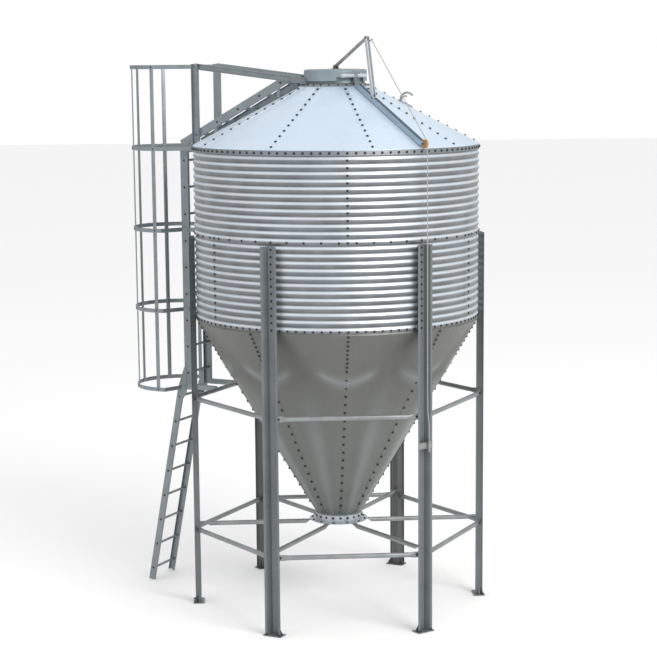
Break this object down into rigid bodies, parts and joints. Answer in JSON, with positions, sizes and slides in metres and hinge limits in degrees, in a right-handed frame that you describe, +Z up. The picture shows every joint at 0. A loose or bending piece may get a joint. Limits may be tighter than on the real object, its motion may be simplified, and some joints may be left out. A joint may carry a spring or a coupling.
{
  "type": "galvanized steel silo",
  "caption": "Round corrugated steel silo on legs, with cone roof, hopper base and outlet, caged side ladder, roof ladder, and a filling lid opened by a lever, rope and pulley.",
  "frame": {"origin": "centre of the bounding box, at the floor", "axes": "+Z up; -Y towards the viewer of the picture; the caged ladder is on the -X side"},
  "size_m": [3.4426, 2.7626, 5.5397],
  "materials": {
    "wall": "galvanised corrugated sheet, bright",
    "roof": "galvanised flat sheet, smooth and pale",
    "hopper": "galvanised flat sheet, weathered grey",
    "leg": "hot-dip galvanised channel",
    "brace": "hot-dip galvanised tube",
    "ladder": "hot-dip galvanised section, satin",
    "collar": "galvanised sheet, bright",
    "opener": "galvanised bar, aged",
    "pulley": "moulded, orange",
    "rope": "laid cord, grey"
  },
  "bodies": {
    "silo": {"leg_front_right": "leg", "leg_right": "leg", "leg_rear_right": "leg", "leg_rear_left": "leg", "leg_left": "leg", "leg_front_left": "leg", "upper_brace_front_right": "brace", "upper_brace_right": "brace", "upper_brace_rear_right": "brace", "upper_brace_rear_left": "brace", "upper_brace_left": "brace", "upper_brace_front_left": "brace", "lower_brace_front_right": "brace", "lower_brace_right": "brace", "lower_brace_rear_right": "brace", "lower_brace_rear_left": "brace", "lower_brace_left": "brace", "lower_brace_front_left": "brace", "outlet_strut_front_right": "brace", "outlet_strut_right": "brace", "outlet_strut_rear_right": "brace", "outlet_strut_rear_left": "brace", "outlet_strut_left": "brace", "outlet_strut_front_left": "brace", "outlet_collar": "collar", "hopper_1": "hopper", "hopper_2": "hopper", "hopper_3": "hopper", "lower_wall_1": "wall", "lower_wall_2": "wall", "lower_wall_3": "wall", "upper_wall_1": "wall", "upper_wall_2": "wall", "upper_wall_3": "wall", "roof_1": "roof", "roof_2": "roof", "roof_3": "roof", "hatch_collar": "collar", "opener_channel": "opener", "pull_rope": "rope", "rope_fall": "rope", "rope_cleat": "opener", "ladder": "ladder", "lower_ladder": "ladder", "bend_plate_near": "ladder", "bend_plate_far": "ladder", "ladder_cage": "ladder", "handrail_near": "ladder", "handrail_far": "ladder", "roof_ladder": "ladder", "roof_eye": "collar"},
    "lid": {"lid": "collar"},
    "lever": {"opener_lever": "opener"},
    "link": {"opener_link": "opener"},
    "pulley_wheel": {"pulley": "pulley"}
  },
  "joints": [
    {"name": "lid_hinge", "type": "hinge", "parent": "silo", "child": "lid", "pos_m": [0.43141, -0.27944, 5.172], "axis": [0.8572, 0.515, 0], "range_deg": [0, 60], "deforming": ["pull_rope"]},
    {"name": "lever_pivot", "type": "hinge", "parent": "silo", "child": "lever", "pos_m": [0.58283, -0.53144, 4.968], "axis": [0.8572, 0.515, 0], "range_deg": [0, 30]},
    {"name": "link_pivot", "type": "hinge", "parent": "lever", "child": "link", "pos_m": [0.52875, -0.44144, 5.525], "axis": [0.8572, 0.515, 0], "range_deg": [-3, 0]},
    {"name": "pulley_spin", "type": "hinge", "parent": "silo", "child": "pulley_wheel", "pos_m": [0.98456, -1.20003, 4.566], "axis": [0.8572, 0.515, 0], "continuous": true}
  ],
  "couplings": [
    {"joint": "lever_pivot", "follows": "lid_hinge", "ratio": 0.4995},
    {"joint": "link_pivot", "follows": "lid_hinge", "ratio": -0.0376}
  ]
}
